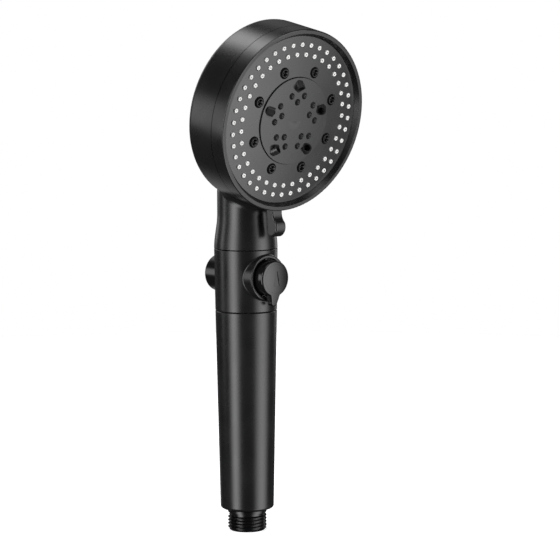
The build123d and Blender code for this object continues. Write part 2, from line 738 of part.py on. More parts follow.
with BuildPart() as pause_button:
    with BuildSketch(CROSS_SECTION):
        with BuildLine():
            skirt = Polyline(
                (0, -BUTTON_TOP),
                (0, BUTTON_WEB),
                (BUTTON_RADIUS - BUTTON_WALL, BUTTON_WEB),
                (BUTTON_RADIUS - BUTTON_WALL, -BUTTON_INNER_END),
                (BUTTON_RADIUS, -BUTTON_INNER_END),
                (BUTTON_RADIUS, -BUTTON_EDGE),
            )
            edge = ThreePointArc(
                skirt @ 1,
                (BUTTON_RADIUS - 0.35, -BUTTON_EDGE - 0.65),
                (BUTTON_RADIUS - 1.2, -BUTTON_EDGE - 1.0),
            )
            rise = BUTTON_TOP - BUTTON_EDGE - 1.0
            bulge = dome(BUTTON_TOP, dome_radius(BUTTON_RADIUS - 1.2, rise), BUTTON_RADIUS / 2)
            ThreePointArc(edge @ 1, (BUTTON_RADIUS / 2, -bulge), skirt @ 0)
        make_face()
    revolve(axis=CROSS_AXIS)
    turn_on_cross(
        (STEM_RADIUS + FIT, STEM_BACK - 0.1),
        (BUTTON_HUB, STEM_BACK - 0.1),
        (BUTTON_HUB, HUB_MOUTH),
        (STEM_RADIUS + FIT, HUB_MOUTH),
    )
    with BuildSketch(CROSS.offset(BUTTON_WEB)):
        Circle(BUTTON_HUB)
    extrude(amount=STEM_BACK - FIT - BUTTON_WEB)

pause_spring = coil_spring(
    CROSS.offset(BUTTON_WEB + SPRING_WIRE + 0.1),
    SPRING_COIL,
    SPRING_WIRE,
    BUTTON_FLOOR - BUTTON_WEB - 2 * SPRING_WIRE - 0.2,
    5,
)

# ---------------------------------------------------------------- head shell and neck

MANIFOLD_BACK = -16.5
MANIFOLD_FRONT = -13.5
POST_RING = 28.0
POST_BEARINGS = (28.0, 152.0, 208.0, 332.0)
POST_RADIUS = 3.4
PILOT_RADIUS = 1.25
NECK_BORE = 12.2
NECK_BORE_TOP = 179.0
HEAD_BLEND = 5.0
CAVITY_BACK = HEAD_BACK + 2.3
SOCKET_BACK = -19.4
SOCKET_MOUTH = -43.0
TUBE_CHANNEL_RADIUS = 6.1
TUBE_CHANNEL_FOOT = -58.0

socket_mouth = FACE.from_local_coords((0, SOCKET_MOUTH, SOCKET_BACK))
SOCKET = Plane(origin=socket_mouth, x_dir=FACE.x_dir, z_dir=FACE.y_dir)


def dished_head(radius, back, rim, front, rounding, mode=Mode.ADD):
    """A drum about the face axis with a domed back and a rounded back edge."""
    with BuildSketch(FACE_SECTION) as profile:
        with BuildLine():
            sides = Polyline((0, back), (0, front), (radius, front), (radius, rim))
            bulge = dome(0, dome_radius(radius, rim - back), radius / 2)
            ThreePointArc(sides @ 1, (radius / 2, back - bulge), sides @ 0)
        make_face()
        outer_corners = profile.vertices().filter_by(lambda corner: corner.X > radius - FIT)
        fillet(outer_corners.sort_by(Axis.Y)[0], rounding)
    revolve(profile.sketch, axis=FACE_AXIS, mode=mode)


with BuildPart() as head_shell:
    dished_head(HEAD_RADIUS, HEAD_BACK, HEAD_BACK_RIM, BEZEL_FRONT, HEAD_BACK_ROUND)
    neck_foot = HOUSING_TOP_Z + SEAM
    with BuildSketch(GRIP_SECTION):
        with BuildLine():
            waist = Spline(
                (NECK_RADIUS, neck_foot),
                (NECK_WAIST_RADIUS, NECK_WAIST_Z),
                tangents=[(0, 1), (0, 1)],
            )
            Polyline(
                waist @ 1,
                (NECK_WAIST_RADIUS, NECK_CROWN_Z),
                (0, NECK_CROWN_Z),
                (0, neck_foot),
                waist @ 0,
            )
        make_face()
    revolve(axis=Axis.Z)
    with Locations((0, 0, NECK_CROWN_Z)):
        Sphere(NECK_WAIST_RADIUS, rotation=(30, 0, 0))
    junction = head_shell.edges().filter_by(
        lambda edge: edge.geom_type in (GeomType.BSPLINE, GeomType.OTHER) and edge.center().Z > NECK_WAIST_Z
    )
    fillet(junction, HEAD_BLEND)
    drill(FACE.offset(HEAD_SEAM), HEAD_RADIUS + 1.6 * HEAD_BLEND, BEZEL_FRONT - HEAD_SEAM + HEAD_BLEND)
    dished_head(
        HEAD_RADIUS - HEAD_WALL,
        CAVITY_BACK,
        HEAD_BACK_RIM + 2.3,
        BEZEL_FRONT,
        HEAD_BACK_ROUND - 1.0,
        mode=Mode.SUBTRACT,
    )
    turn_on_grip(
        (0, neck_foot),
        (SPIGOT_RADIUS + FIT, neck_foot),
        (SPIGOT_RADIUS + FIT, SPIGOT_TOP + SEAM),
        (NECK_BORE, SPIGOT_TOP + 1.6),
        (NECK_BORE, NECK_BORE_TOP),
        (0, NECK_BORE_TOP),
        mode=Mode.SUBTRACT,
    )
    channel_length = SOCKET_MOUTH - TUBE_CHANNEL_FOOT
    drill(SOCKET.offset(-channel_length), TUBE_CHANNEL_RADIUS, channel_length)
    for bearing in POST_BEARINGS:
        with BuildSketch(on_face(POST_RING, bearing, MANIFOLD_BACK)):
            Circle(POST_RADIUS)
        extrude(amount=CAVITY_BACK - MANIFOLD_BACK)
        drill(on_face(POST_RING, bearing, MANIFOLD_BACK), PILOT_RADIUS, -6.5)

with BuildPart() as neck_water_tube:
    with BuildLine() as tube_path:
        tube_end = SOCKET.origin + SOCKET.z_dir * 4.3
        tube_bend = SOCKET.origin - SOCKET.z_dir * 10.0
        FilletPolyline((0, 0, NECK_TUBE_FOOT), (0, 0, 166.0), tube_bend, tube_end, radius=12)
    with BuildSketch(Plane.XY.offset(NECK_TUBE_FOOT)):
        Circle(NECK_TUBE_OUTER)
        Circle(NECK_TUBE_BORE, mode=Mode.SUBTRACT)
    sweep(path=tube_path.line)

# ---------------------------------------------------------------- manifold behind the face

PIVOT_BORE = 2.56
PORT_BOSS_RADIUS = 7.5
PORT_POCKET_RADIUS = 5.6
PORT_POCKET_BACK = -23.0
PORT_BEARING = -90.0
SOCKET_RADIUS = 5.9
BOSS_BACK = -25.0
DETENT_BEARING = 90.0
DETENT_POCKET_RADIUS = 2.1
DETENT_POCKET_BACK = -21.0
SCREW_HEAD_BACK = -15.3

with BuildPart() as manifold:
    turn_on_face((0, MANIFOLD_BACK), (34.0, MANIFOLD_BACK), (34.0, MANIFOLD_FRONT), (0, MANIFOLD_FRONT))
    turn_on_face((0, BOSS_BACK), (6.5, BOSS_BACK), (6.5, MANIFOLD_FRONT), (0, MANIFOLD_FRONT))
    port = on_face(PORT_RING, PORT_BEARING, BOSS_BACK)
    with BuildSketch(port):
        Circle(PORT_BOSS_RADIUS)
    extrude(amount=MANIFOLD_FRONT - BOSS_BACK)
    detent = on_face(PORT_RING, DETENT_BEARING, DETENT_POCKET_BACK - 1.5)
    with BuildSketch(detent):
        Circle(4.5)
    extrude(amount=MANIFOLD_FRONT - DETENT_POCKET_BACK + 1.5)
    with BuildSketch(SOCKET):
        Circle(SOCKET_RADIUS)
    extrude(amount=-PORT_RING - SOCKET_MOUTH)
    drill(SOCKET, NECK_TUBE_OUTER + FIT, 4.5)
    drill(SOCKET, NECK_TUBE_BORE, -PORT_RING - SOCKET_MOUTH)
    drill(on_face(PORT_RING, PORT_BEARING, PORT_POCKET_BACK), PORT_POCKET_RADIUS, 12)
    drill(on_face(PORT_RING, DETENT_BEARING, DETENT_POCKET_BACK), DETENT_POCKET_RADIUS, 12)
    drill(FACE.offset(BOSS_BACK), PIVOT_BORE, 14)
    for bearing in POST_BEARINGS:
        drill(on_face(POST_RING, bearing, MANIFOLD_BACK), PILOT_RADIUS + RUNNING, 4)
        drill(on_face(POST_RING, bearing, SCREW_HEAD_BACK), 2.5, 4)

with BuildPart() as manifold_screw:
    with BuildSketch(Plane.XZ):
        with BuildLine():
            Polyline(
                (0, -22.0),
                (1.2, -22.0),
                (1.2, SCREW_HEAD_BACK),
                (2.4, SCREW_HEAD_BACK),
                (2.4, MANIFOLD_FRONT - 0.2),
                (0, MANIFOLD_FRONT - 0.2),
                close=True,
            )
        make_face()
    revolve(axis=Axis.Z)
    with BuildSketch(Plane.XY.offset(MANIFOLD_FRONT - 0.9)):
        Rectangle(2.8, 0.6)
        Rectangle(0.6, 2.8)
    extrude(amount=1, mode=Mode.SUBTRACT)

with BuildPart() as manifold_screws:
    for bearing in POST_BEARINGS:
        with Locations(on_face(POST_RING, bearing)):
            add(manifold_screw.part)

with BuildPart() as port_seal_cup:
    with BuildSketch(on_face(PORT_RING, PORT_BEARING, -17.0)):
        Circle(5.5)
        Circle(3.0, mode=Mode.SUBTRACT)
    extrude(amount=FLOOR_BACK - FIT + 17.0)

port_seal_spring = coil_spring(on_face(PORT_RING, PORT_BEARING, -22.5), 4.6, 0.4, 5.05, 4)

with BuildPart() as detent_ball:
    with Locations(on_face(PORT_RING, DETENT_BEARING, -14.55)):
        Sphere(2.0)

detent_spring = coil_spring(on_face(PORT_RING, DETENT_BEARING, -20.7), 1.5, 0.25, 3.85, 4)

with BuildPart() as pivot_screw:
    turn_on_face((0, -24.0), (2.55, -24.0), (2.55, -9.0), (4.2, -9.0), (4.2, -6.6), (0, -6.6))
    with BuildSketch(FACE.offset(-8.0)):
        Rectangle(4.6, 1.0)
        Rectangle(1.0, 4.6)
    extrude(amount=2, mode=Mode.SUBTRACT)

with BuildPart() as pivot_washer:
    turn_on_face((2.6, -9.55), (4.3, -9.55), (4.3, -9.05), (2.6, -9.05))

# ---------------------------------------------------------------- turning water distributor

CHAMBER_WALL = 1.2
RAIN_CHAMBER = (32.2, 42.8)
JET_CHAMBER = (24.0, 31.0)
MIST_CHAMBER = (17.2, 22.6)
MASSAGE_CHAMBER = (6.5, 16.2)
PORT_RADIUS = 2.5
TRICKLE_RADIUS = 0.8
MIST_BEARING = PORT_BEARING - 2 * MODE_STEP
MASSAGE_BEARING = PORT_BEARING - MODE_STEP
RAIN_BEARING = PORT_BEARING
TRICKLE_BEARING = PORT_BEARING + MODE_STEP
JET_BEARING = PORT_BEARING + 2 * MODE_STEP
DETENT_GROOVE = 0.6
DETENT_NOTCH = 0.25


def radial_bar(bearing, inner, outer, width, back, front, mode=Mode.ADD):
    """A straight bar that runs outward on the face frame at a bearing."""
    with BuildSketch(on_face((inner + outer) / 2, bearing, back)) as bar:
        Rectangle(outer - inner, width)
    extrude(bar.sketch, amount=front - back, mode=mode)


def chamber_gate(bearing, inner, outer):
    """An opening through a ring wall that lets one cell feed the next chamber."""
    radial_bar(bearing, inner - 0.3, outer + 0.3, 3.6, FLOOR_FRONT, WALL_TOP - 1.0, mode=Mode.SUBTRACT)


with BuildPart() as distributor:
    turn_on_face(
        (PIVOT_BORE + RUNNING, FLOOR_BACK),
        (44.0, FLOOR_BACK),
        (44.0, WALL_TOP),
        (RAIN_CHAMBER[1], WALL_TOP),
        (RAIN_CHAMBER[1], FLOOR_FRONT),
        (RAIN_CHAMBER[0], FLOOR_FRONT),
        (RAIN_CHAMBER[0], WALL_TOP),
        (JET_CHAMBER[1], WALL_TOP),
        (JET_CHAMBER[1], FLOOR_FRONT),
        (JET_CHAMBER[0], FLOOR_FRONT),
        (JET_CHAMBER[0], WALL_TOP),
        (MIST_CHAMBER[1], WALL_TOP),
        (MIST_CHAMBER[1], FLOOR_FRONT),
        (MIST_CHAMBER[0], FLOOR_FRONT),
        (MIST_CHAMBER[0], WALL_TOP),
        (MASSAGE_CHAMBER[1], WALL_TOP),
        (MASSAGE_CHAMBER[1], FLOOR_FRONT),
        (MASSAGE_CHAMBER[0], FLOOR_FRONT),
        (MASSAGE_CHAMBER[0], -6.0),
        (4.4, -6.0),
        (4.4, -9.6),
        (PIVOT_BORE + RUNNING, -9.6),
    )
    # one cell in front of each port
    for step in (-2.5, -1.5, -0.5, 0.5):
        radial_bar(
            PORT_BEARING + step * MODE_STEP,
            JET_CHAMBER[0] - 0.4,
            JET_CHAMBER[1] + 0.4,
            CHAMBER_WALL,
            FLOOR_FRONT,
            WALL_TOP,
        )
    # covered way that carries water inward past the mist chamber
    for side in (-7.0, 7.0):
        radial_bar(
            MASSAGE_BEARING + side,
            MIST_CHAMBER[0] - 0.4,
            MIST_CHAMBER[1] + 0.4,
            CHAMBER_WALL,
            FLOOR_FRONT,
            WALL_TOP,
        )
    chamber_gate(MIST_BEARING, MIST_CHAMBER[1], JET_CHAMBER[0])
    chamber_gate(MASSAGE_BEARING, MIST_CHAMBER[1], JET_CHAMBER[0])
    chamber_gate(MASSAGE_BEARING, MASSAGE_CHAMBER[1], MIST_CHAMBER[0])
    chamber_gate(RAIN_BEARING, JET_CHAMBER[1], RAIN_CHAMBER[0])
    for bearing in (MIST_BEARING, MASSAGE_BEARING, RAIN_BEARING, JET_BEARING):
        drill(on_face(PORT_RING, bearing, FLOOR_BACK), PORT_RADIUS, 2)
    drill(on_face(PORT_RING, TRICKLE_BEARING, FLOOR_BACK), TRICKLE_RADIUS, 2)
    # track and five notches for the detent ball
    with BuildSketch(FACE.offset(FLOOR_BACK)):
        with BuildLine():
            track = CenterArc((0, 0), PORT_RING, DETENT_BEARING - 40, 80)
        SlotArc(track, 3.2)
    extrude(amount=DETENT_GROOVE, mode=Mode.SUBTRACT)
    for step in (-2, -1, 0, 1, 2):
        notch = on_face(PORT_RING, DETENT_BEARING + step * MODE_STEP, FLOOR_BACK + DETENT_GROOVE)
        drill(notch, 1.2, DETENT_NOTCH)

# ---------------------------------------------------------------- turning face

LEVER_HALF_WIDTH = 3.5
LEVER_EDGE_ROUND = 0.9

with BuildPart() as bezel_ring:
    with BuildSketch(FACE_SECTION) as bezel_profile:
        with BuildLine():
            Polyline(
                (HEAD_RADIUS, HEAD_SEAM + SEAM),
                (HEAD_RADIUS, BEZEL_FRONT),
                (BEZEL_LIP_RADIUS, BEZEL_FRONT),
                (PLATE_RADIUS + RUNNING, plate_front(PLATE_RADIUS)),
                (PLATE_RADIUS + RUNNING, -1.7),
                (45.9, -1.7),
                (45.9, -5.5),
                (44.7, -6.5),
                (44.7, -11.5),
                (46.0, -11.5),
                (46.0, HEAD_SEAM + SEAM),
                close=True,
            )
        make_face()
        front_corners = bezel_profile.vertices().group_by(Axis.Y)[-1]
        fillet(front_corners.sort_by(Axis.X)[-1], 0.6)
        fillet(front_corners.sort_by(Axis.X)[0], 0.3)
    revolve(axis=FACE_AXIS)
    with BuildSketch(FACE.offset(-6.0)):
        with Locations((0, -48.0)):
            Rectangle(3.6, 2.2)
    extrude(amount=4.5, mode=Mode.SUBTRACT)

with BuildPart() as mode_lever:
    with BuildSketch(Plane.YZ):
        with BuildLine():
            rear = Line((-20.1, 177.7), (-20.75, 163.8))
            heel = ThreePointArc(rear @ 1, (-22.2, 161.7), (-24.9, 161.3))
            toe = ThreePointArc(heel @ 1, (-27.9, 164.0), (-27.9, 168.9))
            hollow = ThreePointArc(toe @ 1, (-26.1, 171.3), (-25.5, 174.3))
            Polyline(hollow @ 1, (-26.1, 177.7), rear @ 0)
        make_face()
    extrude(amount=LEVER_HALF_WIDTH, both=True)
    with BuildSketch(FACE.offset(-14.0)):
        Circle(HEAD_RADIUS + FIT)
    extrude(amount=20.0, mode=Mode.SUBTRACT)
    side_edges = mode_lever.faces().filter_by(Axis.X).edges().filter_by(lambda edge: edge.center().Z < 175)
    fillet(side_edges, LEVER_EDGE_ROUND)
    with BuildSketch(FACE.offset(-5.95)):
        with Locations((0, -47.95)):
            Rectangle(3.5, 2.0)
    extrude(amount=4.4)

with BuildPart() as face_plate:
    with BuildSketch(FACE_SECTION):
        with BuildLine():
            front = ThreePointArc(
                (DISC_RADIUS + DISC_GAP, plate_front(DISC_RADIUS + DISC_GAP)),
                (OUTER_RAIN[0], plate_front(OUTER_RAIN[0])),
                (PLATE_RADIUS, plate_front(PLATE_RADIUS)),
            )
            Polyline(
                front @ 1,
                (PLATE_RADIUS, -1.8),
                (45.7, -1.8),
                (45.7, PLATE_BACK),
                (DISC_RADIUS + DISC_GAP, PLATE_BACK),
                front @ 0,
            )
        make_face()
    revolve(axis=FACE_AXIS)
    with BuildSketch(FACE.offset(PLATE_BACK)):
        for radius, count, start in (OUTER_RAIN, INNER_RAIN):
            with PolarLocations(radius, count, start_angle=start):
                Circle(RAIN_HOLE_RADIUS)
        with PolarLocations(JET_RING, JET_COUNT, start_angle=JET_START):
            Circle(JET_RADIUS + JET_GAP)
    extrude(amount=6.0, mode=Mode.SUBTRACT)

with BuildPart() as rain_nozzle_mat:
    with BuildSketch(FACE.offset(MAT_BACK)):
        Circle(RAIN_MAT_EDGES[1])
        Circle(RAIN_MAT_EDGES[0], mode=Mode.SUBTRACT)
    extrude(amount=MAT_FRONT - MAT_BACK)
    for radius, count, start in (OUTER_RAIN, INNER_RAIN):
        with BuildSketch(FACE.offset(-3.6)):
            with PolarLocations(radius, count, start_angle=start):
                Circle(RAIN_TIP_RADIUS)
        extrude(amount=plate_front(radius) + RAIN_STAND_OFF + 3.6)
        tips = rain_nozzle_mat.faces(Select.LAST).filter_by(Axis(FACE.origin, FACE.z_dir))
        tips = tips.filter_by(lambda tip: FACE.to_local_coords(tip.center()).Z > -2)
        fillet(tips.edges(), 0.4)
    for radius, count, start in (OUTER_RAIN, INNER_RAIN):
        with BuildSketch(FACE.offset(-4.6)):
            with PolarLocations(radius, count, start_angle=start):
                Circle(RAIN_ORIFICE)
        extrude(amount=6.0, mode=Mode.SUBTRACT)

with BuildPart() as jet_nozzle:
    with BuildSketch(Plane.XZ):
        with BuildLine():
            Polyline(
                (JET_BORE, JET_BACK),
                (JET_FLANGE, JET_BACK),
                (JET_FLANGE, MAT_FRONT),
                (JET_RADIUS, MAT_FRONT),
                (JET_RADIUS, JET_RIM - JET_BEVEL),
                (JET_RADIUS - JET_BEVEL, JET_RIM),
                (JET_CONE_MOUTH, JET_RIM),
                (JET_CONE_ROOT, JET_CONE_FLOOR),
                (JET_BORE, JET_CONE_FLOOR),
                close=True,
            )
        make_face()
    revolve(axis=Axis.Z)

with BuildPart(FACE) as jet_nozzles:
    with PolarLocations(JET_RING, JET_COUNT, start_angle=JET_START):
        add(jet_nozzle.part)

with BuildPart() as centre_disc:
    with BuildSketch(FACE_SECTION):
        with BuildLine():
            front = ThreePointArc(
                (0, DISC_CROWN),
                (DISC_RADIUS / 2, disc_front(DISC_RADIUS / 2)),
                (DISC_RADIUS, disc_front(DISC_RADIUS)),
            )
            Polyline(
                front @ 1,
                (DISC_RADIUS, -3.4),
                (24.2, -3.4),
                (24.2, DISC_BACK),
                (16.0, DISC_BACK),
                (16.0, -0.6),
                (0, -0.6),
                front @ 0,
            )
        make_face()
    revolve(axis=FACE_AXIS)
    for radius, bearing in massage_places():
        drill(on_face(radius, bearing, -0.6), MASSAGE_RADIUS + RUNNING, 4)
    for bearing in triplet_angles():
        drill(mist_plane(bearing, MIST_FOOT - FIT), MIST_RADIUS + FIT, 8)
        drill(on_face(MIST_FEED_RING, bearing, DISC_BACK), MIST_FEED_RADIUS, 5)

with BuildPart() as massage_nozzle_mat:
    turn_on_face((0, -1.8), (15.9, -1.8), (15.9, -0.65), (0, -0.65))
    for radius, bearing in massage_places():
        foot = on_face(radius, bearing, -0.7)
        with BuildSketch(foot):
            Circle(MASSAGE_RADIUS)
        extrude(amount=disc_front(radius) + 0.7)
        with BuildSketch(on_face(radius, bearing, disc_front(radius))):
            Circle(MASSAGE_RADIUS)
        extrude(amount=MASSAGE_RISE, taper=MASSAGE_TAPER)
    for radius, bearing in massage_places():
        drill(on_face(radius, bearing, -1.8), MASSAGE_ORIFICE, 6)

with BuildPart() as mist_nozzles:
    for bearing in triplet_angles():
        with BuildSketch(mist_plane(bearing, MIST_FOOT)):
            Circle(MIST_RADIUS)
            Circle(MIST_ORIFICE, mode=Mode.SUBTRACT)
        extrude(amount=MIST_TIP - MIST_FOOT)
        drill(mist_plane(bearing, MIST_FLOOR), MIST_BORE, MIST_TIP - MIST_FLOOR)

# ---------------------------------------------------------------- export

pieces = {
    "inlet_nipple": inlet_nipple,
    "inlet_filter": inlet_filter,
    "flow_restrictor": flow_restrictor,
    "handle_grip": handle_grip,
    "handle_water_tube": handle_water_tube,
    "valve_housing": valve_housing,
    "valve_body": valve_body,
    "lower_joint_seal": lower_joint_seal,
    "upper_joint_seal": upper_joint_seal,
    "regulator_plug": regulator_plug,
    "plug_gland": plug_gland,
    "plug_seal": plug_seal,
    "stem_seal": stem_seal,
    "flow_knob": flow_knob,
    "knob_screw": knob_screw,
    "knob_cap": knob_cap,
    "pause_stem": pause_stem,
    "poppet_washer": poppet_washer,
    "button_guide": button_guide,
    "guide_seal": guide_seal,
    "pause_button": pause_button,
    "pause_spring": pause_spring,
    "head_shell": head_shell,
    "neck_water_tube": neck_water_tube,
    "manifold": manifold,
    "manifold_screws": manifold_screws,
    "port_seal_cup": port_seal_cup,
    "port_seal_spring": port_seal_spring,
    "detent_ball": detent_ball,
    "detent_spring": detent_spring,
    "pivot_screw": pivot_screw,
    "pivot_washer": pivot_washer,
    "distributor": distributor,
    "bezel_ring": bezel_ring,
    "mode_lever": mode_lever,
    "face_plate": face_plate,
    "rain_nozzle_mat": rain_nozzle_mat,
    "jet_nozzles": jet_nozzles,
    "centre_disc": centre_disc,
    "massage_nozzle_mat": massage_nozzle_mat,
    "mist_nozzles": mist_nozzles,
}

os.makedirs("parts", exist_ok=True)
for name, piece in pieces.items():
    piece.part.label = name
    export_step(piece.part, f"parts/{name}.step")
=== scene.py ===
import json
from math import cos, pi, radians, sin

import bpy
from mathutils import Matrix, Vector


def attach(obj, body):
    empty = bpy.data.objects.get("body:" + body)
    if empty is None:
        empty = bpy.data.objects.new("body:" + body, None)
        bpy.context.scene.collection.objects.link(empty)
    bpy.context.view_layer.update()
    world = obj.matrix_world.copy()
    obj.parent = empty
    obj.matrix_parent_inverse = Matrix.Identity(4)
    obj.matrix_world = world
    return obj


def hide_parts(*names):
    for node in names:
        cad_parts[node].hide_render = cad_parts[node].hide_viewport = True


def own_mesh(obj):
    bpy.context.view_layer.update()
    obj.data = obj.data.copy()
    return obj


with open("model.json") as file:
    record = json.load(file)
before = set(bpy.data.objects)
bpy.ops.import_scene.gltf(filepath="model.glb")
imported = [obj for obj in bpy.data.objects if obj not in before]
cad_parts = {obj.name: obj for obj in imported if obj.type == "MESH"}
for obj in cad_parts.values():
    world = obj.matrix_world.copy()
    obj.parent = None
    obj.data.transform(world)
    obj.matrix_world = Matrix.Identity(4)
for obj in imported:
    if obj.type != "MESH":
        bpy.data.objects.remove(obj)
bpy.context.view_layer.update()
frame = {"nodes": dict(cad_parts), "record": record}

UP = Vector((0, 0, 1))

# ---------------------------------------------------------------- camera

CAMERA_AZIMUTH = radians(-42.17)
CAMERA_ELEVATION = radians(6.364)
CAMERA_ROLL = radians(-0.226)
CAMERA_DISTANCE = 1.2559
CAMERA_LENS = 150.15
CAMERA_REACH = 20.0
SENSOR_WIDTH = 36.0
AIM_SIDEWAYS = 0.018274
AIM_HEIGHT = 0.136079

towards_camera = Vector((sin(CAMERA_AZIMUTH), -cos(CAMERA_AZIMUTH), 0))
camera_right = Vector((cos(CAMERA_AZIMUTH), sin(CAMERA_AZIMUTH), 0))


def look_from(direction, right, position, roll=0.0):
    """A matrix for something that looks back along direction, with its X axis to the right."""
    turn = Matrix((right, direction.cross(right), direction)).transposed()
    return Matrix.Translation(position) @ (turn @ Matrix.Rotation(roll, 3, "Z")).to_4x4()


def add_camera():
    back = towards_camera * cos(CAMERA_ELEVATION) + UP * sin(CAMERA_ELEVATION)
    aim = camera_right * AIM_SIDEWAYS + UP * AIM_HEIGHT
    lens = bpy.data.cameras.new("camera")
    lens.sensor_width = SENSOR_WIDTH
    lens.lens = CAMERA_LENS
    lens.clip_end = CAMERA_REACH
    camera = bpy.data.objects.new("camera", lens)
    camera.matrix_world = look_from(back, camera_right, aim + back * CAMERA_DISTANCE, CAMERA_ROLL)
    bpy.context.scene.collection.objects.link(camera)
    bpy.context.scene.camera = camera


# ---------------------------------------------------------------- material building blocks

# Noise values between these two are stretched over a material's whole range.
NOISE_LOW = 0.3
NOISE_HIGH = 0.7


def new_material(name, color, roughness):
    material = bpy.data.materials.new(name)
    material.use_nodes = True
    tree = material.node_tree
    shader = tree.nodes["Principled BSDF"]
    shader.inputs["Base Color"].default_value = (*color, 1)
    shader.inputs["Roughness"].default_value = roughness
    return material, shader, tree


def noise(tree, scale, detail, stretch=(1, 1, 1)):
    """Noise over the object's own metres, scale features to the metre."""
    place = tree.nodes.new("ShaderNodeTexCoord")
    mapping = tree.nodes.new("ShaderNodeMapping")
    mapping.inputs["Scale"].default_value = stretch
    texture = tree.nodes.new("ShaderNodeTexNoise")
    texture.inputs["Scale"].default_value = scale
    texture.inputs["Detail"].default_value = detail
    tree.links.new(place.outputs["Object"], mapping.inputs["Vector"])
    tree.links.new(mapping.outputs["Vector"], texture.inputs["Vector"])
    return texture.outputs["Fac"]


def vary_roughness(tree, shader, value, low, high):
    """Let the roughness follow a noise value from low to high."""
    node = tree.nodes.new("ShaderNodeMapRange")
    node.inputs["From Min"].default_value = NOISE_LOW
    node.inputs["From Max"].default_value = NOISE_HIGH
    node.inputs["To Min"].default_value = low
    node.inputs["To Max"].default_value = high
    tree.links.new(value, node.inputs["Value"])
    tree.links.new(node.outputs["Result"], shader.inputs["Roughness"])


def vary_color(tree, shader, value, dark, light):
    """Let the colour follow a noise value from dark to light."""
    ramp = tree.nodes.new("ShaderNodeValToRGB")
    first, last = ramp.color_ramp.elements
    first.position = NOISE_LOW
    first.color = (*dark, 1)
    last.position = NOISE_HIGH
    last.color = (*light, 1)
    tree.links.new(value, ramp.inputs["Fac"])
    tree.links.new(ramp.outputs["Color"], shader.inputs["Base Color"])


def bump(tree, value, height, below=None):
    """Raise the surface by up to height metres, on top of another bump."""
    node = tree.nodes.new("ShaderNodeBump")
    node.inputs["Strength"].default_value = 1.0
    node.inputs["Distance"].default_value = height
    tree.links.new(value, node.inputs["Height"])
    if below is not None:
        tree.links.new(below, node.inputs["Normal"])
    return node.outputs["Normal"]


# ---------------------------------------------------------------- kinds of material

MICRON = 1e-6

RIPPLE_SCALE = 60.0
GRAIN_SCALE = 4200.0
CLOUD_SCALE = 180.0
SKIN_SCALE = 6000.0
SKIN_HEIGHT = 6 * MICRON
BRUSH_SCALE = 900.0
BRUSH_STRETCH = (1, 1, 12)
BRUSH_HEIGHT = 4 * MICRON


def moulded_plastic(name, dark, light, roughness, grain_height, ripple_height):
    """Injection-moulded plastic: a fine spark-eroded grain over the slow ripple of shrinkage."""
    material, shader, tree = new_material(name, light, roughness)
    slow = noise(tree, RIPPLE_SCALE, detail=2.0)
    grain = noise(tree, GRAIN_SCALE, detail=4.0)
    vary_color(tree, shader, slow, dark, light)
    vary_roughness(tree, shader, slow, roughness * 0.9, roughness * 1.1)
    ripple = bump(tree, slow, ripple_height)
    tree.links.new(bump(tree, grain, grain_height, ripple), shader.inputs["Normal"])
    return material


def silicone(name, dark, light, roughness):
    """Soft rubber with a fine matt skin."""
    material, shader, tree = new_material(name, light, roughness)
    cloud = noise(tree, CLOUD_SCALE, detail=3.0)
    skin = noise(tree, SKIN_SCALE, detail=3.0)
    vary_color(tree, shader, cloud, dark, light)
    vary_roughness(tree, shader, cloud, roughness * 0.9, roughness * 1.1)
    tree.links.new(bump(tree, skin, SKIN_HEIGHT), shader.inputs["Normal"])
    return material


def brushed_metal(name, dark, light, roughness):
    """Metal with fine lines that run round the part."""
    material, shader, tree = new_material(name, light, roughness)
    lines = noise(tree, BRUSH_SCALE, detail=4.0, stretch=BRUSH_STRETCH)
    vary_color(tree, shader, lines, dark, light)
    vary_roughness(tree, shader, lines, roughness * 0.8, roughness * 1.3)
    tree.links.new(bump(tree, lines, BRUSH_HEIGHT), shader.inputs["Normal"])
    shader.inputs["Metallic"].default_value = 1.0
    return material


# ---------------------------------------------------------------- the part's materials

# Each has its dark and its light colour and its roughness, and a plastic its grain's and ripple's heights.
materials = {
    "satin_black": moulded_plastic(
        "satin_black", (0.007, 0.007, 0.0075), (0.010, 0.010, 0.0105), 0.27, 4 * MICRON, 10 * MICRON
    ),
    "gloss_black": moulded_plastic(
        "gloss_black", (0.004, 0.004, 0.0045), (0.006, 0.006, 0.0065), 0.18, 1 * MICRON, 6 * MICRON
    ),
    "thread_black": moulded_plastic(
        "thread_black", (0.003, 0.003, 0.0035), (0.005, 0.005, 0.0055), 0.24, 3 * MICRON, 6 * MICRON
    ),
    "face_grey": moulded_plastic(
        "face_grey", (0.020, 0.020, 0.021), (0.026, 0.026, 0.027), 0.27, 2 * MICRON, 6 * MICRON
    ),
    "natural_acetal": moulded_plastic(
        "natural_acetal", (0.70, 0.70, 0.66), (0.78, 0.78, 0.74), 0.4, 4 * MICRON, 8 * MICRON
    ),
    "grey_abs": moulded_plastic(
        "grey_abs", (0.22, 0.22, 0.23), (0.27, 0.27, 0.28), 0.5, 6 * MICRON, 12 * MICRON
    ),
    "white_silicone": silicone("white_silicone", (0.84, 0.84, 0.83), (0.92, 0.92, 0.91), 0.5),
    "grey_silicone": silicone("grey_silicone", (0.010, 0.010, 0.0105), (0.014, 0.014, 0.0145), 0.3),
    "black_rubber": silicone("black_rubber", (0.012, 0.012, 0.012), (0.02, 0.02, 0.02), 0.6),
    "stainless_steel": brushed_metal("stainless_steel", (0.55, 0.55, 0.56), (0.68, 0.68, 0.68), 0.28),
}


def paint_cad_nodes():
    """Give every CAD node the material of its slot in the record."""
    for piece in frame["record"]["subparts"]:
        for slot in frame["nodes"][piece["node"]].material_slots:
            slot.material = materials[piece["material_slot"]]


# ---------------------------------------------------------------- the button's spring


